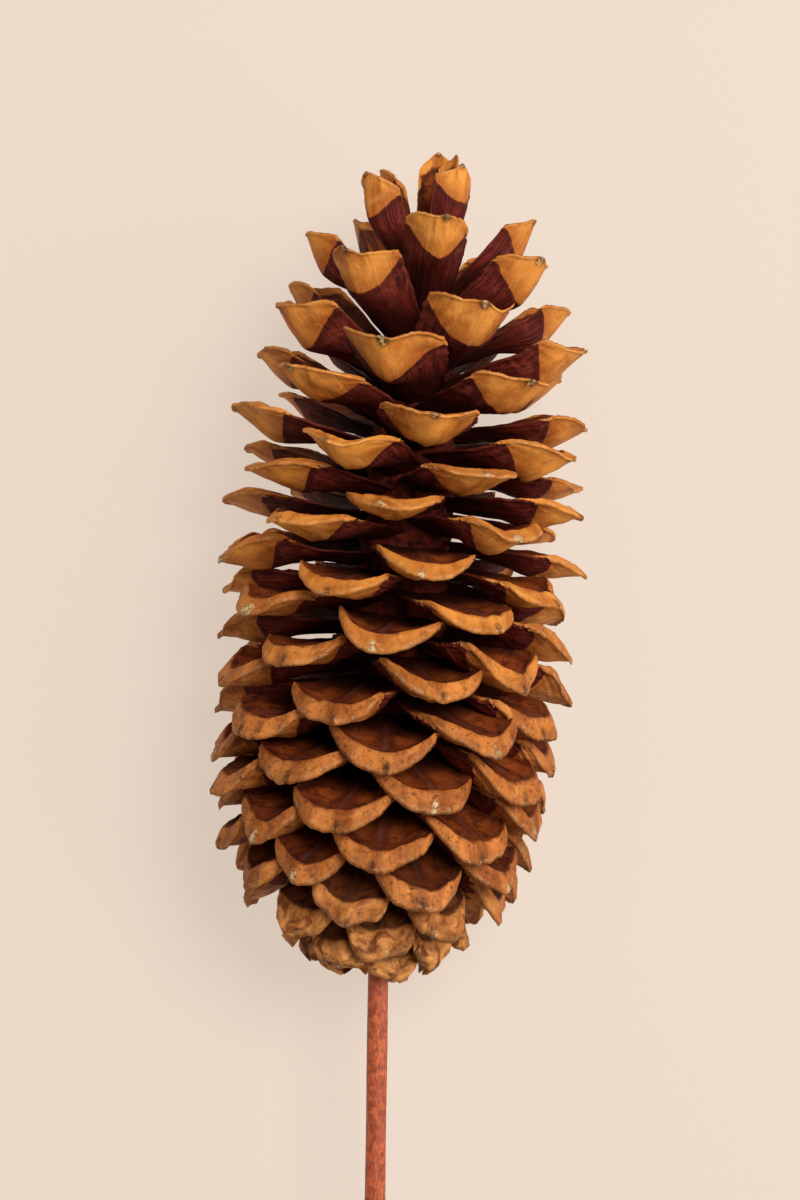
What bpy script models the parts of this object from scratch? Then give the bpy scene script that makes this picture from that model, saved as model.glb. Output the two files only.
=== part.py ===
"""An open sugar pine cone on a plain round stick, lying on its side.

Metres, +Z up. The cone's axis runs along +Y with its tip at +Y, and the stick leaves its base along -Y.
The cone is first worked out in its own frame: the axis is +Y, and an azimuth of 0 faces +Z and grows towards +X.
"""

import math
import random

import bmesh
import bpy
import numpy as np
from mathutils import Matrix, Vector

# The spiral of scales, counted from the base to the tip
SCALE_COUNT = 138
SPIRAL_ANGLE = 137.32
FIRST_AZIMUTH = 214.3

# Stations up the spiral: scale number, height of the root, pitch in degrees, length, half width,
# thickness at the keel, how far down that thickness the nose is, how high the sides are cupped,
# how blunt the keel is, how far back the corners are, and radius of the woody axis there.
# The last few stand up in a bunch.
STATIONS = (
    (0, -0.1030, -66, 0.0240, 0.0100, 0.0048, 0.50, 0.05, 3.0, 0.10, 0.0095),
    (8, -0.0925, -48, 0.0340, 0.0130, 0.0054, 0.55, 0.06, 3.0, 0.13, 0.0105),
    (20, -0.0708, -36, 0.0479, 0.0150, 0.0060, 0.62, 0.10, 3.0, 0.18, 0.0115),
    (32, -0.0628, -23, 0.0475, 0.0184, 0.0064, 0.68, 0.14, 2.6, 0.21, 0.0125),
    (42, -0.0521, -18, 0.0487, 0.0188, 0.0066, 0.70, 0.16, 2.4, 0.22, 0.0130),
    (54, -0.0369, -14, 0.0488, 0.0187, 0.0068, 0.70, 0.18, 2.2, 0.22, 0.0130),
    (72, -0.0101, -9, 0.0484, 0.0184, 0.0066, 0.66, 0.18, 2.0, 0.22, 0.0130),
    (88, 0.0185, -5, 0.0485, 0.0182, 0.0064, 0.50, 0.13, 1.9, 0.22, 0.0128),
    (104, 0.0452, 5, 0.0489, 0.0180, 0.0074, 0.25, 0.12, 1.8, 0.22, 0.0122),
    (114, 0.0642, 12, 0.0489, 0.0172, 0.0082, 0.12, 0.16, 1.8, 0.22, 0.0115),
    (122, 0.0784, 22, 0.0466, 0.0150, 0.0084, 0.08, 0.24, 1.8, 0.22, 0.0105),
    (130, 0.0979, 35, 0.0419, 0.0102, 0.0070, 0.06, 0.27, 1.8, 0.20, 0.0088),
    (132, 0.1020, 45, 0.0380, 0.0095, 0.0066, 0.06, 0.28, 1.8, 0.20, 0.0080),
    (133, 0.1045, 50, 0.0400, 0.0092, 0.0066, 0.06, 0.28, 1.8, 0.20, 0.0076),
    (134, 0.1090, 80, 0.0395, 0.0062, 0.0054, 0.06, 0.28, 1.8, 0.18, 0.0072),
    (135, 0.1105, 73, 0.0345, 0.0074, 0.0056, 0.06, 0.28, 1.8, 0.18, 0.0066),
    (136, 0.1128, 58, 0.0325, 0.0080, 0.0056, 0.06, 0.28, 1.8, 0.18, 0.0060),
    (137, 0.1160, 82, 0.0318, 0.0058, 0.0050, 0.06, 0.28, 1.8, 0.18, 0.0055),
)
HEIGHT, PITCH, LENGTH, HALF_WIDTH, THICKNESS, NOSE_DROP, CUP, BLUNTNESS, SETBACK, AXIS_RADIUS = range(1, 11)

# One scale, as shares of its length, half width or thickness
ROOT_SUNK = 0.004
ROOT_WIDTH = 0.32
CORNER_POWER = 1.8
CORNER_ROUNDING = 0.10
RIM_AT = 0.89
DEPTH_AT = (0.0, 0.38, 0.70, 1.0)
DEPTH_TO_KEEL = (0.62, 0.60, 1.0)
LOWEST_BOW = -0.06
HIGHEST_BOW = 0.05
BIG_SCALE_ROWS = ((0.0, 3), (0.38, 3), (0.70, 5), (0.89, 5), (1.0, 5))
SMALL_SCALE_ROWS = ((0.0, 3), (0.45, 3), (0.80, 5), (1.0, 5))
SMALL_SCALES = 14

# How far one scale strays from the rule
SEED = 105
STRAY_AZIMUTH = 2.0
STRAY_PITCH = 1.5
STRAY_TWIST = 3.0
STRAY_LENGTH = 0.03
STRAY_WIDTH = 0.06
SIDE_DROOP = 3.0

# The woody axis that the scales grow from
AXIS_SIDES = 8
AXIS_STUB = 0.016
AXIS_STUB_RADIUS = 0.0080
AXIS_END = 0.006

# The stick and the plain hole that holds it
STICK_RADIUS = 0.0035
STICK_LENGTH = 0.190
STICK_INNER_END = -0.062
STICK_LEAN = 4.0
STICK_OFFSET = -0.0013
STICK_SIDES = 20
FIT_GAP = 0.0003

# The pose in which it lies: degrees of roll and of nose lift, and the height of the cone's middle.
# It is about a millimetre lower than the lowest tips ask for, so that they get small flat spots.
REST_ROLL = 2.64
REST_NOSE = 1.28
REST_LIFT = 0.0584


def clear_scene():
    for obj in list(bpy.data.objects):
        bpy.data.objects.remove(obj, do_unlink=True)


def plain_material(name, color, roughness):
    material = bpy.data.materials.new(name)
    material.use_nodes = True
    shader = material.node_tree.nodes["Principled BSDF"]
    shader.inputs["Base Color"].default_value = (*color, 1.0)
    shader.inputs["Roughness"].default_value = roughness
    shader.inputs["Metallic"].default_value = 0.0
    return material


def lying():
    """The turn from the cone's own frame to the one in which it lies."""
    roll = Matrix.Rotation(math.radians(REST_ROLL), 4, "Y")
    nose = Matrix.Rotation(math.radians(REST_NOSE), 4, "X")
    return Matrix.Translation((0.0, 0.0, REST_LIFT)) @ nose @ roll


def at_station(number, column):
    return float(np.interp(number, [row[0] for row in STATIONS], [row[column] for row in STATIONS]))


def scales():
    """What is drawn for each scale, from the base to the tip."""
    draw = random.Random(SEED)
    for number in range(SCALE_COUNT):
        azimuth = FIRST_AZIMUTH - SPIRAL_ANGLE * number + draw.uniform(-STRAY_AZIMUTH, STRAY_AZIMUTH)
        side = math.sin(math.radians(azimuth))
        share = number / (SCALE_COUNT - 1)
        yield {
            "number": number,
            "azimuth": math.radians(azimuth),
            "pitch": math.radians(
                at_station(number, PITCH) - SIDE_DROOP * side + draw.uniform(-STRAY_PITCH, STRAY_PITCH)
            ),
            "twist": math.radians(draw.uniform(-STRAY_TWIST, STRAY_TWIST)),
            "length": at_station(number, LENGTH) * (1 + draw.uniform(-STRAY_LENGTH, STRAY_LENGTH)),
            "half_width": at_station(number, HALF_WIDTH) * (1 + draw.uniform(-STRAY_WIDTH, STRAY_WIDTH)),
            "bow": LOWEST_BOW + (HIGHEST_BOW - LOWEST_BOW) * share,
            "thickness": at_station(number, THICKNESS),
            "nose_drop": at_station(number, NOSE_DROP),
            "cup": at_station(number, CUP),
            "bluntness": at_station(number, BLUNTNESS),
            "setback": at_station(number, SETBACK),
            "axis_radius": at_station(number, AXIS_RADIUS),
            "height": at_station(number, HEIGHT),
        }


def scale_frame(scale):
    """Places a scale whose length is +X and whose upper face is +Z on the cone's axis."""
    out = Vector((math.sin(scale["azimuth"]), 0.0, math.cos(scale["azimuth"])))
    axis = Vector((0.0, 1.0, 0.0))
    along = out * math.cos(scale["pitch"]) + axis * math.sin(scale["pitch"])
    above = axis * math.cos(scale["pitch"]) - out * math.sin(scale["pitch"])
    across = above.cross(along)
    root = out * (scale["axis_radius"] - ROOT_SUNK) + axis * scale["height"]
    turned = Matrix((along, across, above)).transposed().to_4x4()
    return Matrix.Translation(root) @ turned @ Matrix.Rotation(scale["twist"], 4, "X")


def scale_point(scale, share, across, below):
    """A point of one scale: share runs from 0 at the root to 1 at the nose, across from -1 to 1."""
    length = scale["length"] + ROOT_SUNK
    half = scale["half_width"]
    rounded = 1 - CORNER_ROUNDING * share**4 * across**6
    x = length * share * (1 - scale["setback"] * abs(across) ** CORNER_POWER) * rounded
    y = half * across * (ROOT_WIDTH + (1 - ROOT_WIDTH) * math.sin(math.pi / 2 * share)) * rounded
    z = scale["bow"] * x * x / length + scale["cup"] * half * share**1.5 * across * across
    if below:
        depth = np.interp(share, DEPTH_AT, (*DEPTH_TO_KEEL, scale["nose_drop"]))
    else:
        depth = scale["nose_drop"] * max(0.0, share - RIM_AT) / (1 - RIM_AT)
    return x, y, z - scale["thickness"] * (1 - abs(across) ** scale["bluntness"]) * depth


def join_rows(bm, near, far, flip):
    """Triangles between two rows of points, split alike left and right of the middle."""
    i = j = 0
    while i < len(near) - 1 or j < len(far) - 1:
        near_share = (i + 1) / (len(near) - 1)
        far_share = (j + 1) / (len(far) - 1)
        far_first = far_share < near_share or (far_share == near_share and far_share > 0.5)
        if i == len(near) - 1 or (far_first and j < len(far) - 1):
            face = (near[i], far[j], far[j + 1])
            j += 1
        else:
            face = (near[i], far[j], near[i + 1])
            i += 1
        bm.faces.new(face if flip else face[::-1])


def add_scale(bm, scale, place):
    """One closed scale: an upper and a lower face that meet along its sides and its nose."""
    to_cone = place @ scale_frame(scale)
    rows = SMALL_SCALE_ROWS if scale["number"] < SMALL_SCALES else BIG_SCALE_ROWS
    upper, lower = [], []
    for share, count in rows:
        across = [2 * k / (count - 1) - 1 for k in range(count)]
        top = [bm.verts.new(to_cone @ Vector(scale_point(scale, share, u, False))) for u in across]
        inner = [
            bm.verts.new(to_cone @ Vector(scale_point(scale, share, u, True))) for u in across[1:-1]
        ]
        upper.append(top)
        lower.append([top[0], *inner, top[-1]])
    for vert in lower[-1][1:-1]:
        bm.verts.remove(vert)
    lower[-1] = upper[-1]
    for k in range(len(rows) - 1):
        join_rows(bm, upper[k], upper[k + 1], False)
        join_rows(bm, lower[k], lower[k + 1], True)
    bm.faces.new([*upper[0], *reversed(lower[0][1:-1])])


def object_of(bm, name, material, collection):
    bmesh.ops.recalc_face_normals(bm, faces=bm.faces)
    mesh = bpy.data.meshes.new(name)
    bm.to_mesh(mesh)
    bm.free()
    mesh.materials.append(material)
    obj = bpy.data.objects.new(name, mesh)
    collection.objects.link(obj)
    return obj


def make_axis(place, material, collection):
    """The woody axis: rings at every other station and at the last, and a stub below the lowest scale."""
    rings = [(row[HEIGHT], row[AXIS_RADIUS]) for row in (*STATIONS[:-1:2], STATIONS[-1])]
    rings.insert(0, (rings[0][0] - AXIS_STUB, AXIS_STUB_RADIUS))
    rings.append((rings[-1][0] + AXIS_END, rings[-1][1] / 2))
    bm = bmesh.new()
    loops = []
    for height, radius in rings:
        turns = [2 * math.pi * k / AXIS_SIDES for k in range(AXIS_SIDES)]
        spots = [Vector((radius * math.sin(t), height, radius * math.cos(t))) for t in turns]
        loops.append([bm.verts.new(place @ spot) for spot in spots])
    for low, high in zip(loops, loops[1:]):
        for k in range(AXIS_SIDES):
            after = (k + 1) % AXIS_SIDES
            bm.faces.new((low[k], low[after], high[after], high[k]))
    bm.faces.new(loops[0])
    bm.faces.new(loops[-1])
    return object_of(bm, "cone", material, collection)


def apply_boolean(obj, operation, collection):
    """Applies one Boolean on a collection and removes that collection's objects."""
    modifier = obj.modifiers.new("Join", "BOOLEAN")
    modifier.operation = operation
    modifier.operand_type = "COLLECTION"
    modifier.collection = collection
    modifier.solver = "EXACT"
    graph = bpy.context.evaluated_depsgraph_get()
    mesh = bpy.data.meshes.new_from_object(obj.evaluated_get(graph))
    obj.modifiers.clear()
    obj.data = mesh
    for used in list(collection.objects):
        bpy.data.objects.remove(used, do_unlink=True)
    bpy.data.collections.remove(collection)


def new_collection(name):
    collection = bpy.data.collections.new(name)
    bpy.context.scene.collection.children.link(collection)
    return collection


def keep_outer_skin(obj):
    """Drops loose scraps and the skins of sealed hollows, which leaves the one body around them."""
    bm = bmesh.new()
    bm.from_mesh(obj.data)
    left = set(bm.verts)
    pieces = []
    while left:
        edge_of = [left.pop()]
        piece = set(edge_of)
        while edge_of:
            for edge in edge_of.pop().link_edges:
                for vert in edge.verts:
                    if vert in left:
                        left.remove(vert)
                        piece.add(vert)
                        edge_of.append(vert)
        pieces.append(piece)
    pieces.sort(key=len)
    for piece in pieces[:-1]:
        bmesh.ops.delete(bm, geom=list(piece), context="VERTS")
    bm.to_mesh(obj.data)
    bm.free()


def stick_line(place):
    """The middle and the direction of the stick, inner end to outer end."""
    down = Vector((math.sin(math.radians(STICK_LEAN)), -math.cos(math.radians(STICK_LEAN)), 0.0))
    inner = Vector((STICK_OFFSET, STICK_INNER_END, 0.0))
    middle = place @ (inner + down * STICK_LENGTH / 2)
    return middle, (place.to_3x3() @ down).normalized()


def make_rod(name, middle, direction, radius, length, material, collection):
    bm = bmesh.new()
    bmesh.ops.create_cone(
        bm, cap_ends=True, segments=STICK_SIDES, radius1=radius, radius2=radius, depth=length
    )
    rod = object_of(bm, name, material, collection)
    turn = direction.to_track_quat("Z", "X").to_matrix().to_4x4()
    rod.data.transform(Matrix.Translation(middle) @ turn)
    return rod


def make_floor_cutter(collection, material):
    """A block under the resting plane: it wears flat the lowest tips that the cone lies on."""
    bm = bmesh.new()
    bmesh.ops.create_cube(bm, size=1.0)
    cutter = object_of(bm, "floor_cutter", material, collection)
    cutter.data.transform(Matrix.Translation((0.0, 0.0, -0.5)))
    return cutter


def make_cone(place, material):
    grown = new_collection("grown")
    for scale in scales():
        bm = bmesh.new()
        add_scale(bm, scale, place)
        object_of(bm, f"scale_{scale['number']}", material, grown)
    cone = make_axis(place, material, bpy.context.scene.collection)
    apply_boolean(cone, "UNION", grown)
    keep_outer_skin(cone)
    cut = new_collection("cut")
    middle, direction = stick_line(place)
    hole_length = STICK_LENGTH + 2 * FIT_GAP
    make_rod("hole", middle, direction, STICK_RADIUS + FIT_GAP, hole_length, material, cut)
    make_floor_cutter(cut, material)
    apply_boolean(cone, "DIFFERENCE", cut)
    keep_outer_skin(cone)
    return cone


def make_stick(place, material):
    middle, direction = stick_line(place)
    return make_rod(
        "stick", middle, direction, STICK_RADIUS, STICK_LENGTH, material, bpy.context.scene.collection
    )


def centre_on_origin(objects):
    corners = [obj.matrix_world @ v.co for obj in objects for v in obj.data.vertices]
    shift = Vector((0.0, 0.0, 0.0))
    for axis in (0, 1):
        values = [corner[axis] for corner in corners]
        shift[axis] = -(min(values) + max(values)) / 2
    for obj in objects:
        obj.data.transform(Matrix.Translation(shift))


def main():
    clear_scene()
    scale_brown = plain_material("cone_scales", (0.30, 0.12, 0.035), 0.6)
    stick_brown = plain_material("stained_wood", (0.32, 0.09, 0.035), 0.55)
    place = lying()
    cone = make_cone(place, scale_brown)
    stick = make_stick(place, stick_brown)
    centre_on_origin([cone, stick])


main()
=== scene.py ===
"""The looks of an open sugar pine cone on a plain round stick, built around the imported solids.

Metres, +Z up. The cone is worked out in its own frame, as in the solids' source: its axis is +Y,
and an azimuth of 0 faces +Z, where the camera is. It is then turned and lifted to lie as the
solids do.
"""

import math
import random
from types import SimpleNamespace

import bpy
import numpy as np
from mathutils import Matrix, Vector


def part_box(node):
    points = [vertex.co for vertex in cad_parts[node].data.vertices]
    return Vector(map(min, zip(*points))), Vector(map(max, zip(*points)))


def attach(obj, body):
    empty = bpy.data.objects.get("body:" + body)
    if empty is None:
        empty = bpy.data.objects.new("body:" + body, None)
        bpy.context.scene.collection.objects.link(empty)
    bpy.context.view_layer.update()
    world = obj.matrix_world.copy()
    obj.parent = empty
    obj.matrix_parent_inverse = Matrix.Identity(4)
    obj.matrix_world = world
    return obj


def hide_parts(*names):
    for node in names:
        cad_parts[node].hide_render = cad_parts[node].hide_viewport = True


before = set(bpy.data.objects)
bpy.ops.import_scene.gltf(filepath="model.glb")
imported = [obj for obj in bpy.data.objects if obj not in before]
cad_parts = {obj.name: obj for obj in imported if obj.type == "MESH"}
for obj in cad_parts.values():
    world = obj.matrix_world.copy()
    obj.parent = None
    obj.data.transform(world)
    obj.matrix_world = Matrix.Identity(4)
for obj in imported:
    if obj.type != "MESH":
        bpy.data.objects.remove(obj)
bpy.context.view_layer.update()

# The spiral of scales, counted from the base to the tip, as in the solids
SCALE_COUNT = 138
SPIRAL_ANGLE = 137.32
FIRST_AZIMUTH = 214.3

# Stations up the spiral, as in the solids: scale number, height of the root, pitch in degrees,
# length, half width, thickness at the keel, how far down that thickness the nose is, how high the
# sides are cupped, how blunt the keel is, how far back the corners are, and radius of the woody
# axis there. The last few stand up in a bunch.
STATIONS = (
    (0, -0.1030, -66, 0.0240, 0.0100, 0.0048, 0.50, 0.05, 3.0, 0.10, 0.0095),
    (8, -0.0925, -48, 0.0340, 0.0130, 0.0054, 0.55, 0.06, 3.0, 0.13, 0.0105),
    (20, -0.0708, -36, 0.0479, 0.0150, 0.0060, 0.62, 0.10, 3.0, 0.18, 0.0115),
    (32, -0.0628, -23, 0.0475, 0.0184, 0.0064, 0.68, 0.14, 2.6, 0.21, 0.0125),
    (42, -0.0521, -18, 0.0487, 0.0188, 0.0066, 0.70, 0.16, 2.4, 0.22, 0.0130),
    (54, -0.0369, -14, 0.0488, 0.0187, 0.0068, 0.70, 0.18, 2.2, 0.22, 0.0130),
    (72, -0.0101, -9, 0.0484, 0.0184, 0.0066, 0.66, 0.18, 2.0, 0.22, 0.0130),
    (88, 0.0185, -5, 0.0485, 0.0182, 0.0064, 0.50, 0.13, 1.9, 0.22, 0.0128),
    (104, 0.0452, 5, 0.0489, 0.0180, 0.0074, 0.25, 0.12, 1.8, 0.22, 0.0122),
    (114, 0.0642, 12, 0.0489, 0.0172, 0.0082, 0.12, 0.16, 1.8, 0.22, 0.0115),
    (122, 0.0784, 22, 0.0466, 0.0150, 0.0084, 0.08, 0.24, 1.8, 0.22, 0.0105),
    (130, 0.0979, 35, 0.0419, 0.0102, 0.0070, 0.06, 0.27, 1.8, 0.20, 0.0088),
    (132, 0.1020, 45, 0.0380, 0.0095, 0.0066, 0.06, 0.28, 1.8, 0.20, 0.0080),
    (133, 0.1045, 50, 0.0400, 0.0092, 0.0066, 0.06, 0.28, 1.8, 0.20, 0.0076),
    (134, 0.1090, 80, 0.0395, 0.0062, 0.0054, 0.06, 0.28, 1.8, 0.18, 0.0072),
    (135, 0.1105, 73, 0.0345, 0.0074, 0.0056, 0.06, 0.28, 1.8, 0.18, 0.0066),
    (136, 0.1128, 58, 0.0325, 0.0080, 0.0056, 0.06, 0.28, 1.8, 0.18, 0.0060),
    (137, 0.1160, 82, 0.0318, 0.0058, 0.0050, 0.06, 0.28, 1.8, 0.18, 0.0055),
)
HEIGHT, PITCH, LENGTH, HALF_WIDTH, THICKNESS = range(1, 6)
NOSE_DROP, CUP, BLUNTNESS, SETBACK, AXIS_RADIUS = range(6, 11)
WIDEST = max(row[HALF_WIDTH] for row in STATIONS)

# One scale, as in the solids: how deep its root is sunk, and shares of its length or thickness
ROOT_SUNK = 0.004
CORNER_POWER = 1.8
CORNER_ROUNDING = 0.10
RIM_AT = 0.89
DEPTH_AT = (0.0, 0.38, 0.70, 1.0)
DEPTH_TO_KEEL = (0.62, 0.60, 1.0)
LOWEST_BOW = -0.06
HIGHEST_BOW = 0.05

# How far one scale strays from the rule, as in the solids
SEED = 105
STRAY_AZIMUTH = 2.0
STRAY_PITCH = 1.5
STRAY_TWIST = 3.0
STRAY_LENGTH = 0.03
STRAY_WIDTH = 0.06
SIDE_DROOP = 3.0

# The woody axis, the stick and the pose, as in the solids
AXIS_STUB = 0.016
AXIS_STUB_RADIUS = 0.0080
AXIS_END = 0.006
STICK_RADIUS = 0.0035
STICK_LENGTH = 0.190
STICK_INNER_END = -0.062
STICK_LEAN = 4.0
STICK_OFFSET = -0.0013
REST_ROLL = 2.64
REST_NOSE = 1.28
REST_LIFT = 0.0584

# The grid on each face of a scale: shares of its length, and places across it from -1 to 1
SHARES = np.concatenate(
    [np.linspace(0, 0.60, 13), np.linspace(0.64, 0.84, 9), np.linspace(0.86, 1.0, 13)]
)
ACROSS = np.sin(np.linspace(-1.2, 1.2, 37)) / math.sin(1.2)
SCALES_IN_A_PIECE = 23
MILLIMETRES = 1000

# What each scale's own random draws start from, and how far apart their patterns are taken
SURFACE_SEEDS = SEED * 1000
TONE_SEEDS = SEED * 2000
PATTERN_SPACING = 7.31

# Scale numbers between which one kind of scale turns into the next
WORN_TO_WHOLE = (8, 34)
KNOB_TO_LIP = (8, 26)
SHIELD_WIDENS = (92, 112)
TO_UPMOST = (106, 122)
SHIELD_LENGTHENS = (108, 130)

# How far one scale's finer surface strays, and its patterns of sine waves: their number, and
# the slowest and the fastest of them
STRAY_LEAN = 0.12
STRAY_SETBACK = 0.25
STRAY_POWER = (-0.3, 0.5)
STRAY_CUP = (0.7, 1.3)
STRAY_THICKNESS = (0.88, 1.10)
ZIGZAG_START = (0, 2)
ZIGZAG_PITCH = (2.0, 3.2)
SLOW_WAVES = (5, 1.5, 4.0)
MEDIUM_WAVES = (7, 6.0, 14.0)
FINE_WAVES = (9, 20.0, 60.0)
RAGGED_WAVES = (9, 10.0, 44.0)

# The outline of a scale. Its root is wider than the solids' 0.32, so that less of the axis shows.
ROOT_WIDTH = 0.52
WORN_ROUNDING = 0.12
WORN_SHORTER = 0.0026
UPMOST_CUP = 0.15
UPMOST_ROUNDING = 0.2
UPMOST_SETBACK = 0.82
NOSE_FROM = 0.80
NOSE_RAGGED = 0.0003
NOSE_WAVY = 0.0010
NOSE_ZIGZAG = 0.0012
BEAK_FROM = 0.90
BEAK = 0.0008
BEAK_WIDTH = 0.09
WORN_BEAK = -0.0030
WORN_BEAK_WIDTH = 0.6
SIDES_RAGGED = 0.02
WARP = 0.0011
WARP_GROWS = (0.1, 0.9)
LEAN_FROM = 0.3

# Forms on the upper face: their places, the lengths over which they rise and fall, and heights
RIM_CLOSING = 0.30
RIM_SHIFT = 0.045
KNOB_RIM = 0.20
RIM_NEARS = (0.60, 0.86)
RIM_BEAD = 0.0003
RIM_BEAD_WIDTH = 0.025
HOLLOW_AT = 0.40
HOLLOW_WIDTH = 0.24
HOLLOW_SPAN = ((0.20, 0.45), (0.68, 0.86))
HOLLOW = 0.0011
RIDGE_WIDTH = 0.05
RIDGE_SPAN = ((0.1, 0.3), (0.84, 0.97))
RIDGE = 0.00045
FORK_FROM = 0.66
FORK_ROOT = 0.05
FORK_SPREAD = 0.9
FORK_WIDTH = 0.06
FORK_SPAN = ((0.66, 0.74), (0.84, 0.92))
FORK = 0.0004
UPPER_RELIEF = (0.00016, 0.00005)
WORN_RELIEF = 0.0007
SIDE_ROLL = 0.0022
ROLL_RISES = (0.15, 0.85)
ROLL_FALLS = (0.88, 1.0)
ROLL_LOST_AT_SIDE = 0.55
ROLL_LOST_AT_NOSE = 0.8
NOSE_CURVE = 1.25
SIDE_BEVEL_AT = 0.89
SIDE_BEVEL = 0.0013
SIDE_CURVE = 1.4
CORNER_FROM = (0.62, 0.86)

# Forms on the lower face, and how thick the edge between the two is
NOSE_ROUNDING = 1.25
LOWER_RELIEF = (0.00020, 0.00006)
UNDER_ZIGZAG = 0.0010
UNDER_ZIGZAG_SLOWER = 0.6
UNDER_KEEL = 0.0005
UNDER_KEEL_WIDTH = 0.05
UNDER_KEEL_FROM = (0.5, 0.7)
UNDER_KEEL_LOST_AT_NOSE = 0.6
EDGE_THICKNESS = 0.0008
SMALL_SCALE_EDGE = 0.55
CORNER_THICKNESS = 0.0011
WORN_THICKNESS = 0.0018

# Where the golden shield of the lower face and the tan lip of the upper one start
SHIELD_AT = 0.66
SHIELD_AT_SIDES = 0.90
SHIELD_SHORTER = 0.05
SHIELD_NARROWER = 0.09
SHIELD_CURVE = 1.9
SHIELD_WAVY = 0.010
LIP_AT_SIDES = 0.90
LIP_ENDS = 0.005
RESIN_AT = 0.985

# The axis is fuller than in the solids between these heights, so that fewer gaps show through
AXIS_ROWS = 160
AXIS_COLUMNS = 73
AXIS_FILL = 0.0025
AXIS_FILL_SPAN = ((-0.06, -0.03), (0.04, 0.09))
KNOB_WAVES = (9, 3.0, 9.0)
KNOB_HEIGHT = 0.05
KNOBS_ROUND = 2
KNOBS_UP = 400

# The stick's finer surface, and how far in and how deep its worn rims are as shares of its radius
STICK_ROWS = 90
STICK_COLUMNS = 49
STICK_WAVES = (9, 40.0, 160.0)
STICK_UNEVEN = 0.012
RIM_RADII = np.array([0.0, 0.5, 0.85, 0.96, 1.0])
RIM_DEPTHS = np.array([0.0, 0.0, 0.0, 0.02, 0.10])

# The floor, which is flat near the cone and sweeps up all round
FLOOR = 14.0
FLAT_FLOOR = 8.0
FLOOR_POINTS = 57
BACKDROP_HEIGHT = 4.0
FLOOR_CLEARANCE = 0.002

# Lamps: name, place, width, watts and colour. They aim at one point of the cone.
LAMPS = (
    ("key", (0.56, 0.54, 1.70), 0.8, 29.0, (1.0, 0.95, 0.89)),
    ("side", (1.6, 0.1, 1.1), 1.6, 12.0, (1.0, 0.97, 0.93)),
)
LAMPS_AIM = (0.0, 0.03, 0.04)
SKY_COLOR = (1.0, 0.97, 0.94, 1.0)
SKY_STRENGTH = 0.30

# The photograph: its size, the cone's lean in it and how much it shows at the cone's distance
PHOTO_SIZE = (800, 1200)
METRES_PER_PIXEL = 0.000338
CAMERA_DISTANCE = 1.0
CAMERA_LEAN = 4.8


def at_station(number, column):
    """A column of the stations, at any scale number."""
    numbers = [row[0] for row in STATIONS]
    return float(np.interp(number, numbers, [row[column] for row in STATIONS]))


def scales():
    """What is drawn for each scale, from the base to the tip."""
    draw = random.Random(SEED)
    for number in range(SCALE_COUNT):
        azimuth = FIRST_AZIMUTH - SPIRAL_ANGLE * number
        azimuth += draw.uniform(-STRAY_AZIMUTH, STRAY_AZIMUTH)
        pitch = at_station(number, PITCH) - SIDE_DROOP * math.sin(math.radians(azimuth))
        pitch += draw.uniform(-STRAY_PITCH, STRAY_PITCH)
        yield {
            "number": number,
            "azimuth": math.radians(azimuth),
            "pitch": math.radians(pitch),
            "twist": math.radians(draw.uniform(-STRAY_TWIST, STRAY_TWIST)),
            "length": at_station(number, LENGTH) * (1 + draw.uniform(-STRAY_LENGTH, STRAY_LENGTH)),
            "half_width": at_station(number, HALF_WIDTH)
            * (1 + draw.uniform(-STRAY_WIDTH, STRAY_WIDTH)),
            "bow": LOWEST_BOW + (HIGHEST_BOW - LOWEST_BOW) * number / (SCALE_COUNT - 1),
            "thickness": at_station(number, THICKNESS),
            "nose_drop": at_station(number, NOSE_DROP),
            "cup": at_station(number, CUP),
            "bluntness": at_station(number, BLUNTNESS),
            "setback": at_station(number, SETBACK),
            "axis_radius": at_station(number, AXIS_RADIUS),
            "height": at_station(number, HEIGHT),
        }


def scale_frame(scale):
    """Places a scale whose length is +X and whose upper face is +Z on the cone's axis."""
    out = Vector((math.sin(scale["azimuth"]), 0.0, math.cos(scale["azimuth"])))
    axis = Vector((0.0, 1.0, 0.0))
    along = out * math.cos(scale["pitch"]) + axis * math.sin(scale["pitch"])
    above = axis * math.cos(scale["pitch"]) - out * math.sin(scale["pitch"])
    across = above.cross(along)
    root = out * (scale["axis_radius"] - ROOT_SUNK) + axis * scale["height"]
    turned = Matrix((along, across, above)).transposed().to_4x4()
    return Matrix.Translation(root) @ turned @ Matrix.Rotation(scale["twist"], 4, "X")


def stick_line():
    """The middle and the direction of the stick in the cone's own frame, inner to outer end."""
    lean = math.radians(STICK_LEAN)
    down = Vector((math.sin(lean), -math.cos(lean), 0.0))
    inner = Vector((STICK_OFFSET, STICK_INNER_END, 0.0))
    return inner + down * STICK_LENGTH / 2, down


def lying():
    """The turn from the cone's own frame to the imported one. The stick's own box gives its shift."""
    roll = Matrix.Rotation(math.radians(REST_ROLL), 4, "Y")
    nose = Matrix.Rotation(math.radians(REST_NOSE), 4, "X")
    turn = Matrix.Translation((0.0, 0.0, REST_LIFT)) @ nose @ roll
    low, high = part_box("stick")
    shift = (low + high) / 2 - turn @ stick_line()[0]
    return Matrix.Translation((shift.x, shift.y, 0.0)) @ turn


PLACE = lying()


def moved(points, matrix):
    """Points carried by a 4 x 4 matrix, one a row."""
    matrix = np.array(matrix)
    return points.reshape(-1, 3) @ matrix[:3, :3].T + matrix[:3, 3]


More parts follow.
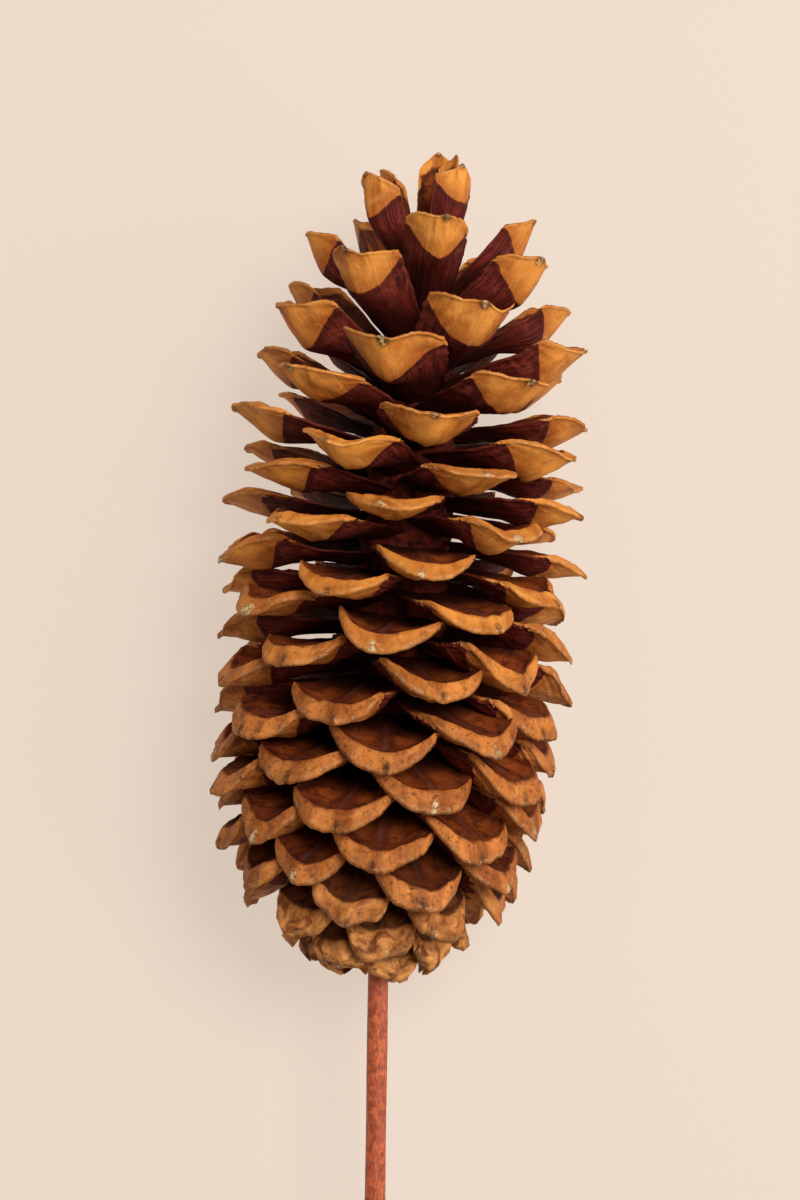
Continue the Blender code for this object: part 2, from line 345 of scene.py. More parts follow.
def waves(draw, count, slowest, fastest):
    """A smooth random pattern over two coordinates, from -1 to 1 or so: a sum of sine waves."""
    parts = []
    for _ in range(count):
        pitch = draw.uniform(slowest, fastest)
        turn = draw.uniform(0, math.pi)
        start = draw.uniform(0, 2 * math.pi)
        parts.append((pitch * math.cos(turn), pitch * math.sin(turn), start))
    scale = 1 / math.sqrt(count)
    return lambda a, b: scale * sum(np.sin(p * a + q * b + r) for p, q, r in parts)


def step(values, low, high):
    """0 below low, 1 above high, and smooth between."""
    t = np.clip((values - low) / (high - low), 0, 1)
    return t * t * (3 - 2 * t)


def between(values, rise, fall):
    """0, then 1 from the end of the rise to the start of the fall, then 0, and smooth between."""
    return step(values, *rise) * (1 - step(values, *fall))


def zigzag(values):
    """A wave of straight slopes between 0 and 1 that comes round every 2."""
    return np.abs(np.mod(values, 2.0) - 1.0)


def bump(values, middle, width):
    """1 at the middle, fading to 0 on both sides."""
    return np.exp(-(((values - middle) / width) ** 2))


def rim_share(across):
    """Where the upper face ends and the tan bevel of the nose starts."""
    return RIM_AT + (1 - RIM_AT) * RIM_CLOSING * np.abs(across) ** 4


def depth_below(share, drop):
    """How far down the keel the lower face is, as a share of the thickness."""
    near_root, middle, nose = DEPTH_TO_KEEL
    keel = near_root + (middle - near_root) * step(share, *DEPTH_AT[:2])
    keel += (nose - middle) * step(share, *DEPTH_AT[1:3])
    to_nose = np.clip((share - DEPTH_AT[2]) / (1 - DEPTH_AT[2]), 0, 1)
    return keel - (nose - drop) * to_nose**NOSE_ROUNDING


def scale_traits(scale):
    """What sets one scale's finer surface apart from the others, and its grid."""
    draw = random.Random(SURFACE_SEEDS + scale["number"])
    t = SimpleNamespace(
        slow=waves(draw, *SLOW_WAVES),
        medium=waves(draw, *MEDIUM_WAVES),
        fine=waves(draw, *FINE_WAVES),
        ragged=waves(draw, *RAGGED_WAVES),
        lean=draw.uniform(-STRAY_LEAN, STRAY_LEAN),
        lopsided=draw.uniform(-STRAY_SETBACK, STRAY_SETBACK),
        power=CORNER_POWER + draw.uniform(*STRAY_POWER),
        cup=scale["cup"] * draw.uniform(*STRAY_CUP),
        zigzag_start=draw.uniform(*ZIGZAG_START),
        zigzag_pitch=draw.uniform(*ZIGZAG_PITCH),
        thickness=scale["thickness"] * draw.uniform(*STRAY_THICKNESS),
        drop=scale["nose_drop"],
        length=scale["length"] + ROOT_SUNK,
        half=scale["half_width"],
        size=scale["half_width"] / WIDEST,
        worn=1 - step(scale["number"], *WORN_TO_WHOLE),
        knob=1 - step(scale["number"], *KNOB_TO_LIP),
        upmost=step(scale["number"], *TO_UPMOST),
    )
    t.share, t.across = np.meshgrid(SHARES, ACROSS, indexing="ij")
    t.apart = np.abs(t.across)
    t.nose = step(t.share, NOSE_FROM, 1.0)
    t.corner = step(t.share, *CORNER_FROM)
    t.near_rim = step(t.share, *RIM_NEARS)
    t.rim = rim_share(t.across) + RIM_SHIFT * t.drop - KNOB_RIM * t.knob
    return t


def scale_outline(scale, t):
    """How far out and to the side each point of the grid is, and the height midway through it."""
    setback = scale["setback"] * (1 - (1 - UPMOST_SETBACK) * t.upmost)
    setback = setback * (1 + t.lopsided * t.across) * t.apart**t.power
    rounding = CORNER_ROUNDING * (1 - (1 - UPMOST_ROUNDING) * t.upmost) + WORN_ROUNDING * t.worn
    rounded = 1 - rounding * t.share**4 * t.apart**6

    x = t.length * t.share * (1 - setback) * rounded
    x += t.nose * t.size * NOSE_RAGGED * t.ragged(t.across * 3, t.share)
    x += t.nose * t.size * NOSE_WAVY * (1 + t.worn) * t.slow(t.across * 2.2, 3)
    x += t.nose * t.size * NOSE_ZIGZAG * (zigzag(t.across * t.zigzag_pitch + t.zigzag_start) - 0.5)
    x -= t.nose * t.worn * WORN_SHORTER
    beak = bump(t.across, t.lean, BEAK_WIDTH + WORN_BEAK_WIDTH * t.worn)
    x += step(t.share, BEAK_FROM, 1.0) * (BEAK + WORN_BEAK * t.worn) * beak * t.size

    y = t.half * (t.across + t.lean * step(t.share, LEAN_FROM, 1.0) * (1 - t.across**2))
    y *= (ROOT_WIDTH + (1 - ROOT_WIDTH) * np.sin(math.pi / 2 * t.share)) * rounded
    y *= 1 + SIDES_RAGGED * t.ragged(t.share * 3, np.sign(t.across) * 2)

    cup = t.cup + UPMOST_CUP * t.upmost
    middle = scale["bow"] * x * x / t.length + cup * t.half * t.share**1.5 * t.across**2
    middle += WARP * t.size * t.slow(t.across * 1.5, t.share * 2) * step(t.share, *WARP_GROWS)
    return x, y, middle


def upper_face(t, middle, keel):
    """Heights of the upper face, with its ridge, hollows, rolled sides and bevelled nose."""
    hollows = bump(t.apart, HOLLOW_AT, HOLLOW_WIDTH) * between(t.share, *HOLLOW_SPAN)
    ridge = bump(t.across, t.lean * t.near_rim, RIDGE_WIDTH) * between(t.share, *RIDGE_SPAN)
    fork_at = FORK_ROOT + FORK_SPREAD * np.clip(t.share - FORK_FROM, 0, 1)
    fork = bump(t.apart, fork_at, FORK_WIDTH) * between(t.share, *FORK_SPAN)
    upper = middle + t.size * (RIDGE * ridge - HOLLOW * hollows + FORK * fork)
    upper += t.size * UPPER_RELIEF[0] * t.medium(t.across * 2, t.share * 3)
    upper += t.size * UPPER_RELIEF[1] * t.fine(t.across * 2, t.share)
    upper += t.worn * t.near_rim * WORN_RELIEF * t.medium(t.across, t.share * 1.5)

    past_rim = np.clip((t.share - t.rim) / (1 - t.rim), 0, 1)
    roll = SIDE_ROLL * t.drop * step(t.apart, *ROLL_RISES)
    roll *= 1 - ROLL_LOST_AT_SIDE * step(t.apart, *ROLL_FALLS)
    roll *= 1 - ROLL_LOST_AT_NOSE * past_rim**2
    upper += t.size * t.near_rim * (roll + RIM_BEAD * bump(t.share, t.rim, RIM_BEAD_WIDTH))
    side = np.clip((t.apart - SIDE_BEVEL_AT) / (1 - SIDE_BEVEL_AT), 0, 1) * t.corner
    upper -= keel * t.drop * past_rim**NOSE_CURVE
    return upper - t.size * t.drop * SIDE_BEVEL * side**SIDE_CURVE


def lower_face(t, middle, keel, upper):
    """Heights of the lower face, at least the edge's thickness below the upper one."""
    lower = middle - keel * depth_below(t.share, t.drop)
    lower += t.size * LOWER_RELIEF[0] * t.medium(t.across * 2 + 5, t.share * 3)
    lower += t.size * LOWER_RELIEF[1] * t.fine(t.across * 3, t.share)
    folds = zigzag(t.across * (t.zigzag_pitch - UNDER_ZIGZAG_SLOWER) - t.zigzag_start)
    lower -= t.size * t.near_rim * UNDER_ZIGZAG * t.drop * folds * (1 - t.apart**2)
    ridge = bump(t.across, t.lean, UNDER_KEEL_WIDTH) * step(t.share, *UNDER_KEEL_FROM)
    lower -= t.size * UNDER_KEEL * ridge * (1 - UNDER_KEEL_LOST_AT_NOSE * t.nose)
    edge = EDGE_THICKNESS * (SMALL_SCALE_EDGE + (1 - SMALL_SCALE_EDGE) * t.size)
    edge = edge + CORNER_THICKNESS * t.size * t.drop * t.corner + WORN_THICKNESS * t.worn * t.corner
    return np.minimum(lower, upper - edge)


def scale_surface(scale):
    """Points of the upper and the lower face of one scale, with what its material reads."""
    t = scale_traits(scale)
    x, y, middle = scale_outline(scale, t)
    keel = t.thickness * (1 - t.apart ** scale["bluntness"])
    upper = upper_face(t, middle, keel)
    lower = lower_face(t, middle, keel, upper)

    at_sides = SHIELD_AT_SIDES + SHIELD_NARROWER * (1 - step(scale["number"], *SHIELD_WIDENS))
    shield = SHIELD_AT + SHIELD_SHORTER * step(scale["number"], *SHIELD_LENGTHENS)
    shield = shield + (at_sides - SHIELD_AT) * t.apart**SHIELD_CURVE
    shield += SHIELD_WAVY * t.slow(t.across * 2, 1)
    side_lip = (t.apart - LIP_AT_SIDES) * t.half - LIP_ENDS * (1 - t.corner)
    lip = np.maximum((t.share - t.rim) * t.length, side_lip)
    tip = np.hypot((t.share - RESIN_AT) * t.length, (t.across - t.lean) * t.half) / t.size
    edge = np.minimum((1 - t.apart) * t.half, (1 - t.share) * t.length)
    read = {"across": t.across, "along": t.share}
    read.update({"tip": tip * MILLIMETRES, "edge": edge * MILLIMETRES})
    golden = (t.share - shield) * t.length * MILLIMETRES
    return (
        np.stack([x, y, upper], -1),
        np.stack([x, y, lower], -1),
        {**read, "gold": lip * MILLIMETRES, "face": np.ones_like(t.share)},
        {**read, "gold": golden, "face": np.zeros_like(t.share)},
    )


def off_the_floor(points):
    """Bends up the ends of scales that would reach into the floor."""
    height = points[:, 2]
    low = height < FLOOR_CLEARANCE
    height[low] = FLOOR_CLEARANCE * np.exp(height[low] / FLOOR_CLEARANCE - 1)
    return points


def grid_faces(rows, columns, first, flip):
    """Four-sided faces of a grid of points numbered row by row from first."""
    index = first + np.arange(rows * columns).reshape(rows, columns)
    a, b = index[:-1, :-1].ravel(), index[1:, :-1].ravel()
    c, d = index[1:, 1:].ravel(), index[:-1, 1:].ravel()
    return np.stack([d, c, b, a] if flip else [a, b, c, d], -1)


def wall_faces(upper, lower):
    """Four-sided faces between two rows of point numbers."""
    return np.stack([upper[:-1], lower[:-1], lower[1:], upper[1:]], -1)


def scale_faces(first):
    """Faces of one scale: its upper grid, numbered from first, its lower grid and its edge."""
    rows, columns = len(SHARES), len(ACROSS)
    count = rows * columns
    index = first + np.arange(count).reshape(rows, columns)
    border = (index[:, 0], index[-1], index[::-1, -1], index[0, ::-1])
    upper = grid_faces(rows, columns, first, False)
    lower = grid_faces(rows, columns, first + count, True)
    return [upper, lower, *(wall_faces(line, line + count) for line in border)]


def mesh_piece(name, points, faces, material, attributes=None):
    """A smooth mesh of four-sided faces, with numbers on its points for the material to read."""
    mesh = bpy.data.meshes.new(name)
    mesh.vertices.add(len(points))
    mesh.vertices.foreach_set("co", np.asarray(points, np.float32).ravel())
    mesh.loops.add(faces.size)
    mesh.loops.foreach_set("vertex_index", faces.astype(np.int32).ravel())
    mesh.polygons.add(len(faces))
    starts = np.arange(len(faces), dtype=np.int32) * faces.shape[1]
    mesh.polygons.foreach_set("loop_start", starts)
    mesh.update(calc_edges=True)
    mesh.validate()
    mesh.shade_smooth()
    for key, values in (attributes or {}).items():
        layer = mesh.attributes.new(key, "FLOAT", "POINT")
        layer.data.foreach_set("value", np.asarray(values, np.float32).ravel())
    mesh.materials.append(material)
    obj = bpy.data.objects.new(name, mesh)
    bpy.context.scene.collection.objects.link(obj)
    return obj


def make_scale_pieces(material):
    """The scales, joined into a few pieces from the base to the tip."""
    count = len(SHARES) * len(ACROSS)
    drawn = list(scales())
    made = []
    for start in range(0, SCALE_COUNT, SCALES_IN_A_PIECE):
        points, faces, attributes = [], [], {}
        for place, scale in enumerate(drawn[start : start + SCALES_IN_A_PIECE]):
            upper, lower, read_upper, read_lower = scale_surface(scale)
            both = np.concatenate([upper.reshape(-1, 3), lower.reshape(-1, 3)])
            points.append(off_the_floor(moved(both, PLACE @ scale_frame(scale))))
            faces += scale_faces(place * count * 2)
            whole = {
                "tone": random.Random(TONE_SEEDS + scale["number"]).random(),
                "seed": scale["number"] * PATTERN_SPACING,
                "height": scale["number"] / SCALE_COUNT,
            }
            for read in (read_upper, read_lower):
                for key, value in {**read, **whole}.items():
                    values = np.broadcast_to(value, upper.shape[:2]).ravel()
                    attributes.setdefault(key, []).append(values)
        read = {key: np.concatenate(values) for key, values in attributes.items()}
        name = f"scales_{len(made) + 1}"
        made.append(
            mesh_piece(name, np.concatenate(points), np.concatenate(faces), material, read)
        )
    return made


def make_axis(material):
    """The woody axis, knobbly between the roots of the scales."""
    stations = [(row[HEIGHT], row[AXIS_RADIUS]) for row in STATIONS]
    stations.insert(0, (stations[0][0] - AXIS_STUB, AXIS_STUB_RADIUS))
    stations.append((stations[-1][0] + AXIS_END, stations[-1][1] / 2))
    low, high = stations[0][0], stations[-1][0]
    turns = np.linspace(0, 2 * math.pi, AXIS_COLUMNS)
    h, t = np.meshgrid(np.linspace(low, high, AXIS_ROWS), turns, indexing="ij")
    knobs = waves(random.Random(SEED), *KNOB_WAVES)
    radius = np.interp(h, *zip(*stations))
    radius *= 1 + KNOB_HEIGHT * knobs(t * KNOBS_ROUND, h * KNOBS_UP)
    radius += AXIS_FILL * between(h, *AXIS_FILL_SPAN)
    radius *= np.sqrt(np.clip((high - h) / AXIS_END, 0, 1))
    points = np.stack([radius * np.sin(t), h, radius * np.cos(t)], -1)
    points[:, -1] = points[:, 0]
    faces = grid_faces(AXIS_ROWS, AXIS_COLUMNS, 0, True)
    return mesh_piece("axis", moved(points, PLACE), faces, material)


def make_stick(material):
    """The round stick, faintly uneven, with its rims worn round."""
    middle, direction = stick_line()
    turn = Matrix.Translation(middle) @ direction.to_track_quat("Z", "X").to_matrix().to_4x4()
    half = STICK_LENGTH / 2
    depths = RIM_DEPTHS * STICK_RADIUS
    shaft = np.linspace(-half, half, STICK_ROWS + 2)[1:-1]
    height = np.concatenate([-half + depths, shaft, half - depths[::-1]])
    radius = np.concatenate([RIM_RADII, np.ones(STICK_ROWS), RIM_RADII[::-1]])
    t, h = np.meshgrid(np.linspace(0, 2 * math.pi, STICK_COLUMNS), height)
    uneven = waves(random.Random(SEED), *STICK_WAVES)
    radius = radius[:, None] * STICK_RADIUS * (1 - STICK_UNEVEN * (1 + uneven(0.0, h)))
    points = np.stack([radius * np.cos(t), radius * np.sin(t), h], -1)
    faces = grid_faces(len(height), STICK_COLUMNS, 0, True)
    return mesh_piece("stick_wood", moved(points, PLACE @ turn), faces, material)


def rgb(red, green, blue):
    """A colour given as the 0 to 255 values seen on a screen."""
    shares = (red / 255, green / 255, blue / 255)
    linear = [((c + 0.055) / 1.055) ** 2.4 if c > 0.04045 else c / 12.92 for c in shares]
    return (*linear, 1.0)


# The golden ends of the upper scales and the tan lips of the lower ones
GOLD_SHADE, GOLD_LIGHT = rgb(170, 96, 34), rgb(234, 156, 68)
TAN_SHADE, TAN_LIGHT = rgb(130, 70, 32), rgb(206, 128, 64)
TAN_AGED = rgb(150, 80, 34)
# Painted shade: the tan darkens towards the dark claw
TAN_SHADED_BY_CLAW = rgb(152, 72, 22)
TAN_FIBRE = rgb(228, 168, 92)
TAN_PALE = rgb(218, 152, 84)
LIP_SHADE = rgb(126, 66, 26)
STAIN = rgb(104, 56, 28)
DOT = rgb(78, 42, 24)
# Pale edges, partly wear and partly a painted highlight
WEAR_AND_EDGE_HIGHLIGHT = rgb(222, 182, 134)

# The dark claws, seen from below and from above
CLAW_SHADE, CLAW_LIGHT = rgb(50, 15, 12), rgb(118, 44, 34)
CLAW_BLOTCH = rgb(138, 62, 44)
CRIMSON = rgb(158, 46, 24)
UPPER_SHADE, UPPER_LIGHT = rgb(82, 32, 18), rgb(122, 54, 24)
SEED_BED_LIGHT, SEED_BED_SHADE = rgb(190, 98, 40), rgb(132, 54, 20)
UPPER_FIBRE = rgb(66, 24, 16)
UPPER_BLOTCH = rgb(50, 18, 14)
MIDDLE_LINE = rgb(116, 80, 74)
HALO = rgb(158, 82, 32)
# Painted shade on the upper faces at the cone's base
PAINTED_SHADE_AT_BASE = rgb(40, 16, 11)
# Painted shade towards the roots of the claws
PAINTED_ROOT_SHADE = rgb(42, 12, 8)
# A dark line along the gold's border, which on the upper face is painted crease shade
CREASE_SHADE_AND_BORDER_LINE = rgb(48, 17, 12)

# Resin, the worn base, the axis, the stick and the floor
RESIN = rgb(56, 38, 28)
CRUST = rgb(196, 168, 126)
BASE_LIGHT, BASE_SHADE = rgb(222, 156, 88), rgb(72, 36, 18)
AXIS_SHADE, AXIS_LIGHT = rgb(24, 8, 6), rgb(108, 36, 24)
STICK_SHADE, STICK_LIGHT = rgb(142, 56, 26), rgb(196, 92, 46)
STICK_GROOVE, STICK_FIBRE = rgb(92, 32, 16), rgb(232, 140, 88)
FLOOR_LIT, FLOOR_GLOW = rgb(120, 113, 106), rgb(238, 219, 203)
FLOOR_GLOW_STRENGTH = 0.74

# How rough the claws are, how much smoother the gold and rougher the specks, and the weak gloss
CLAW_ROUGHNESS = 0.58
GOLD_SMOOTHER = 0.12
SPECKS_ROUGHER = 0.14
WEAK_GLOSS = 0.1
USUAL_GLOSS = 0.5

# Noises: scale, detail, roughness and distortion. The first three are stretched along the scale.
FIBRE_STRETCH = (26.0, 2.4, 1.0)
PATCH_STRETCH = (2.2, 3.2, 1.0)
FIBRES = (1.0, 4.0, 0.6, 0.3)
STREAKS = (0.45, 5.0, 0.7, 1.2)
PATCHES = (1.0, 3.0, 0.6, 0.6)
BLOTCHES = (170.0, 4.0, 0.65, 0.8)
SPECKS = (620.0, 3.0, 0.7, 0.0)
GRAIN = (1700.0, 2.0, 0.6, 0.0)
AXIS_PATCHES = (260.0, 4.0, 0.65, 0.0)
STICK_STRETCH = (1.0, 0.16, 1.0)
STICK_FIBRES = (2300.0, 4.0, 0.65, 0.0)
STICK_PATCHES = (330.0, 4.0, 0.65, 0.6)


class Nodes:
    """Short calls that add shader nodes and link them."""

    def __init__(self, name):
        self.material = bpy.data.materials.new(name)
        self.material.use_nodes = True
        self.tree = self.material.node_tree
        self.shader = self.tree.nodes["Principled BSDF"]

    def add(self, kind, inputs=(), **settings):
        node = self.tree.nodes.new("ShaderNode" + kind)
        for key, value in settings.items():
            setattr(node, key, value)
        for key, value in dict(inputs).items():
            self.put(node.inputs[key], value)
        return node

    def put(self, socket, value):
        """Links another node's output to a socket, or sets a constant on it."""
        if isinstance(value, bpy.types.NodeSocket):
            self.tree.links.new(value, socket)
        else:
            socket.default_value = value

    def read(self, name):
        """A number that the mesh holds on its points."""
        node = self.add("Attribute", attribute_name=name, attribute_type="GEOMETRY")
        return node.outputs["Fac"]

    def math(self, operation, a, b=0.0, clamp=False):
        return self.add("Math", {0: a, 1: b}, operation=operation, use_clamp=clamp).outputs[0]

    def plus(self, a, b, clamp=False):
        return self.math("ADD", a, b, clamp)

    def minus(self, a, b):
        return self.math("SUBTRACT", a, b)

    def times(self, a, b):
        return self.math("MULTIPLY", a, b)

    def size(self, a):
        return self.math("ABSOLUTE", a)

    def step(self, value, low, high):
        """0 at low, 1 at high, and smooth between, also where low is above high."""
        inputs = {"Value": value, "From Min": low, "From Max": high}
        return self.add("MapRange", inputs, interpolation_type="SMOOTHSTEP").outputs["Result"]

    def mix(self, share, a, b):
        return self.add("Mix", {0: share, 6: a, 7: b}, data_type="RGBA").outputs[2]

    def paint(self, below, pattern, strength, color):
        """A colour laid over another where a pattern is, as strongly as it says."""
        return self.mix(self.times(pattern, strength), below, color)

    def stretch(self, where, factors):
        return self.add("VectorMath", {0: where, 1: factors}, operation="MULTIPLY").outputs[0]

    def noise(self, where, scale, detail, roughness, distortion):
        inputs = {"Vector": where, "Scale": scale, "Detail": detail}
        inputs.update({"Roughness": roughness, "Distortion": distortion})
        return self.add("TexNoise", inputs).outputs["Fac"]

    def finish(self, color, roughness, specular, relief=None, strength=0.0, depth=0.0):
        """Feeds the shader, with a relief if there is one, and gives back the material."""
        self.put(self.shader.inputs["Base Color"], color)
        self.put(self.shader.inputs["Roughness"], roughness)
        self.shader.inputs["Specular IOR Level"].default_value = specular
        if relief is not None:
            inputs = {"Strength": strength, "Distance": depth, "Height": relief}
            self.put(self.shader.inputs["Normal"], self.add("Bump", inputs).outputs[0])
        return self.material


def scale_patterns(n):
    """What the scales' mesh tells their material, and the noises it is painted with."""
    names = ("across", "along", "face", "gold", "tip", "edge", "tone", "seed", "height")
    p = SimpleNamespace(**{name: n.read(name) for name in names})
    p.apart = n.size(p.across)
    where = n.add("TexCoord").outputs["Object"]
    blade = n.add("CombineXYZ", {0: p.across, 1: p.along, 2: p.seed}).outputs[0]
    p.fibres = n.noise(n.stretch(blade, FIBRE_STRETCH), *FIBRES)
    p.streaks = n.noise(n.stretch(blade, FIBRE_STRETCH), *STREAKS)
    p.patches = n.noise(n.stretch(blade, PATCH_STRETCH), *PATCHES)
    p.blotches = n.noise(where, *BLOTCHES)
    p.specks = n.noise(where, *SPECKS)
    p.grain = n.noise(where, *GRAIN)
    p.lower_part = n.step(p.height, 0.66, 0.40)
    p.upper_part = n.step(p.height, 0.72, 0.86)
    return p


def tan_wood(n, p):
    """Golden in the cone's upper part and browner, stained and dotted in its lower one, with painted
    shade by the claw.
    """
    golden = n.mix(n.step(p.patches, 0.30, 0.62), GOLD_SHADE, GOLD_LIGHT)
    brown = n.mix(n.step(p.patches, 0.32, 0.66), TAN_SHADE, TAN_LIGHT)
    tan = n.paint(golden, p.lower_part, 0.9, brown)
    tan = n.paint(tan, p.tone, 0.35, TAN_AGED)
    # Painted shade: darker towards the dark claw
    shade_by_claw = n.step(p.gold, 9.0, 0.0)
    tan = n.paint(tan, shade_by_claw, n.minus(0.65, n.times(p.face, 0.5)), TAN_SHADED_BY_CLAW)
    light_fibres = n.step(p.fibres, 0.46, 0.72)
    tan = n.paint(tan, light_fibres, n.minus(0.22, n.times(p.face, 0.2)), TAN_FIBRE)
    lip = n.times(p.face, n.step(p.gold, 1.5, 5.5))
    tan = n.paint(tan, lip, 0.35, LIP_SHADE)
    stains = n.step(p.blotches, 0.52, 0.66)
    tan = n.paint(tan, stains, n.plus(0.08, n.times(p.lower_part, 0.42)), STAIN)
    dots = n.step(p.specks, 0.54, 0.66)
    tan = n.paint(tan, dots, n.plus(0.12, n.times(p.lower_part, 0.6)), DOT)
    return n.paint(tan, n.step(p.blotches, 0.46, 0.30), 0.5, TAN_PALE)


def dark_under(n, p):
    """A claw from below: dark red-brown fibres, with crimson streaks towards the root."""
    dark = n.mix(n.step(p.fibres, 0.30, 0.70), CLAW_SHADE, CLAW_LIGHT)
    dark = n.paint(dark, n.step(p.blotches, 0.52, 0.64), 0.5, CLAW_BLOTCH)
    crimson = n.times(n.step(p.streaks, 0.50, 0.58), n.step(p.along, 0.72, 0.42))
    return n.paint(dark, crimson, 0.65, CRIMSON)


def dark_upper(n, p):
    """A claw from above: the beds of two seeds, a pale middle line, a halo by the lip and painted
    shade at the cone's base.
    """
    beds = n.minus(1.0, n.step(n.size(n.minus(p.apart, 0.42)), 0.10, 0.34))
    beds = n.times(beds, n.times(n.step(p.along, 0.30, 0.58), n.step(p.along, 0.88, 0.76)))
    dark = n.mix(p.patches, UPPER_SHADE, UPPER_LIGHT)
    dark = n.paint(dark, beds, 0.8, n.mix(p.blotches, SEED_BED_LIGHT, SEED_BED_SHADE))
    dark = n.paint(dark, n.step(p.fibres, 0.42, 0.8), 0.35, UPPER_FIBRE)
    dark = n.paint(dark, n.step(p.blotches, 0.50, 0.62), 0.6, UPPER_BLOTCH)
    line = n.times(n.step(p.apart, 0.09, 0.01), n.step(p.blotches, 0.42, 0.56))
    dark = n.paint(dark, line, 0.35, MIDDLE_LINE)
    halo = n.times(n.step(p.gold, -5.0, -0.5), n.step(p.blotches, 0.60, 0.42))
    dark = n.paint(dark, halo, 0.55, HALO)
    # Painted shade on the upper faces of the scales at the cone's base
    return n.paint(dark, n.step(p.height, 0.34, 0.10), 0.75, PAINTED_SHADE_AT_BASE)


def gold_border(n, p):
    """How golden each point is, and its distance from the uneven border in millimetres."""
    coarse = n.times(n.minus(p.blotches, 0.5), n.plus(1.4, n.times(p.face, 4.2)))
    fine = n.times(n.minus(p.specks, 0.5), n.times(p.face, 1.6))
    distance = n.plus(p.gold, n.plus(coarse, fine))
    softness = n.plus(0.25, n.times(p.face, 0.5))
    return n.step(distance, n.times(softness, -1.0), softness), distance


def resin_and_crust(n, p, color):
    """A small dark resin spot at the nose of each scale, on some with a pale crust."""
    spot = n.plus(p.tip, n.times(n.minus(p.specks, 0.5), 6.0))
    reach = n.plus(1.7, n.times(p.upper_part, 1.9))
    resin = n.times(n.step(spot, reach, n.times(reach, 0.55)), n.step(p.specks, 0.34, 0.52))
    color = n.paint(color, resin, 0.85, RESIN)
    crusted = n.plus(n.step(p.tone, 0.72, 0.80), n.times(p.upper_part, 0.7), clamp=True)
    crust = n.times(n.step(spot, 1.6, 0.6), n.step(p.specks, 0.60, 0.50))
    return n.paint(color, crust, crusted, CRUST)


def scale_material():
    """Dark claws with golden or tan ends, stained at the cone's base, with painted shade towards the
    roots and by the rims, and pale edges that are partly wear and partly a painted highlight.
    """
    n = Nodes("cone_scales")
    p = scale_patterns(n)
    gold, distance = gold_border(n, p)
    dark = n.mix(p.face, dark_under(n, p), dark_upper(n, p))
    # Painted shade: the claws darken towards their roots
    dark = n.paint(dark, n.step(p.along, 0.72, 0.30), 0.88, PAINTED_ROOT_SHADE)
    color = n.mix(gold, dark, tan_wood(n, p))
    # A dark line along the gold's border, which on the upper face is painted crease shade by the rim
    border = n.step(n.size(n.plus(distance, 1.5)), 1.9, 0.2)
    color = n.paint(color, border, 0.45, CREASE_SHADE_AND_BORDER_LINE)
    # Pale edges on the gold: partly wear, partly a painted highlight
    worn = n.times(n.step(p.edge, 0.7, 0.1), n.step(p.specks, 0.42, 0.60))
    worn = n.times(worn, n.times(gold, n.step(p.blotches, 0.44, 0.56)))
    color = n.paint(color, worn, 0.3, WEAR_AND_EDGE_HIGHLIGHT)
    color = resin_and_crust(n, p, color)
    base_wood = n.mix(n.step(p.blotches, 0.35, 0.65), BASE_LIGHT, BASE_SHADE)
    basal = n.plus(0.15, n.times(gold, 0.5))
    color = n.paint(color, n.step(p.height, 0.20, 0.05), basal, base_wood)

    roughness = n.minus(CLAW_ROUGHNESS, n.times(gold, GOLD_SMOOTHER))
    roughness = n.plus(roughness, n.times(p.specks, SPECKS_ROUGHER))
    grooves = n.minus(0.9, n.times(gold, n.plus(0.35, n.times(p.face, 0.45))))
    relief = n.plus(n.times(p.fibres, grooves), n.times(p.specks, 0.7))
    relief = n.plus(relief, n.times(p.grain, 0.25))
    return n.finish(color, roughness, WEAK_GLOSS, relief, strength=0.5, depth=0.0007)


def axis_material():
    """Dark patchy wood, dull as the scales' roots."""
    n = Nodes("woody_axis")
    patches = n.noise(n.add("TexCoord").outputs["Object"], *AXIS_PATCHES)
    color = n.mix(n.step(patches, 0.3, 0.7), AXIS_SHADE, AXIS_LIGHT)
    return n.finish(color, 0.85, WEAK_GLOSS, patches, strength=0.8, depth=0.001)


def stick_material():
    """Red-brown stained wood with fine grooves and lighter fibres along it."""
    n = Nodes("stained_wood")
    where = n.add("TexCoord").outputs["Object"]
    fibres = n.noise(n.stretch(where, STICK_STRETCH), *STICK_FIBRES)
    patches = n.noise(where, *STICK_PATCHES)
    color = n.mix(n.step(patches, 0.34, 0.66), STICK_SHADE, STICK_LIGHT)
    color = n.paint(color, n.step(fibres, 0.52, 0.36), 0.55, STICK_GROOVE)
    color = n.paint(color, n.step(fibres, 0.54, 0.70), 0.55, STICK_FIBRE)
    return n.finish(color, 0.5, USUAL_GLOSS, fibres, strength=0.4, depth=0.0003)


def floor_material():
    """A pale backdrop that glows a little, so that the shadow on it stays faint."""
    n = Nodes("pale_floor")
    n.put(n.shader.inputs["Emission Color"], FLOOR_GLOW)
    n.put(n.shader.inputs["Emission Strength"], FLOOR_GLOW_STRENGTH)
    return n.finish(FLOOR_LIT, 0.9, WEAK_GLOSS)


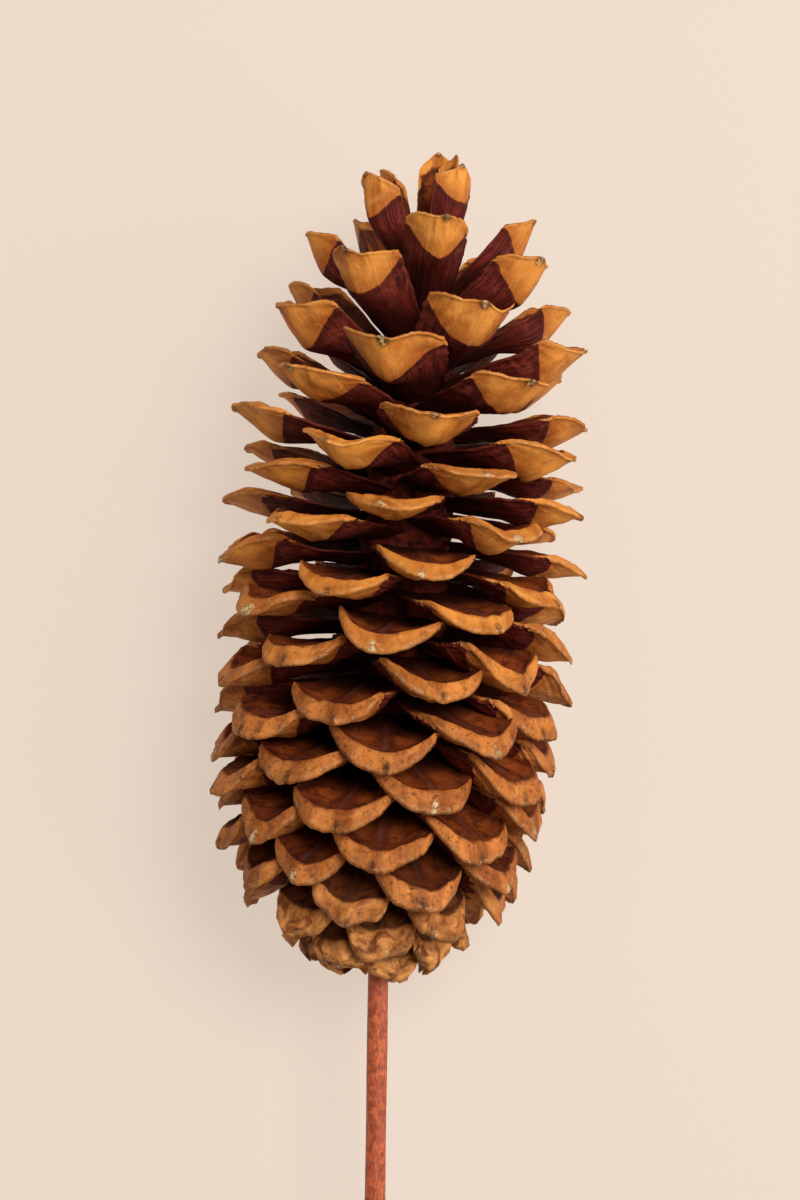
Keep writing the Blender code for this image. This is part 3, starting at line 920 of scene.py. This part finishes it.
def make_floor():
    """A flat floor that sweeps up into a backdrop all round, far away from the cone."""
    side = np.linspace(-FLOOR, FLOOR, FLOOR_POINTS)
    x, y = np.meshgrid(side, side, indexing="ij")
    z = BACKDROP_HEIGHT * step(np.hypot(x, y), FLAT_FLOOR, FLOOR)
    points = np.stack([x, y, z], -1).reshape(-1, 3)
    faces = grid_faces(FLOOR_POINTS, FLOOR_POINTS, 0, False)
    floor = mesh_piece("floor", points, faces, floor_material())


def add_lamp(name, place, width, watts, color):
    light = bpy.data.lights.new(name, "AREA")
    light.shape = "DISK"
    light.size = width
    light.energy = watts
    light.color = color
    obj = bpy.data.objects.new(name, light)
    obj.location = place
    obj.rotation_mode = "QUATERNION"
    obj.rotation_quaternion = (Vector(LAMPS_AIM) - Vector(place)).to_track_quat("-Z", "Y")
    bpy.context.scene.collection.objects.link(obj)


def make_lights():
    """A soft warm key from the photograph's upper right, and a wide lamp low at its right."""
    for lamp in LAMPS:
        add_lamp(*lamp)
    world = bpy.data.worlds.new("studio")
    world.use_nodes = True
    background = world.node_tree.nodes["Background"]
    background.inputs["Color"].default_value = SKY_COLOR
    background.inputs["Strength"].default_value = SKY_STRENGTH
    bpy.context.scene.world = world
    bpy.context.scene.view_settings.view_transform = "Standard"


def make_camera():
    """Level with the photograph: over the cone's middle, with the cone leaning as it does there."""
    camera = bpy.data.cameras.new("camera")
    camera.sensor_fit = "AUTO"
    half_height = PHOTO_SIZE[1] * METRES_PER_PIXEL / 2
    camera.lens = camera.sensor_width / 2 * CAMERA_DISTANCE / half_height
    obj = bpy.data.objects.new("camera", camera)
    bpy.context.scene.collection.objects.link(obj)
    lean = math.radians(CAMERA_LEAN)
    right = Vector((math.cos(lean), math.sin(lean), 0))
    up = Vector((-math.sin(lean), math.cos(lean), 0))
    turn = Matrix((right, up, right.cross(up))).transposed().to_4x4()
    obj.matrix_world = PLACE @ Matrix.Translation((0, 0, CAMERA_DISTANCE)) @ turn
    bpy.context.scene.camera = obj


def main():
    make_camera()
    pieces = make_scale_pieces(scale_material())
    pieces.append(make_axis(axis_material()))
    for piece in pieces:
        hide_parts("cone")
        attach(piece, "root")
    stick = make_stick(stick_material())
    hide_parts("stick")
    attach(stick, "root")
    make_floor()
    make_lights()


main()
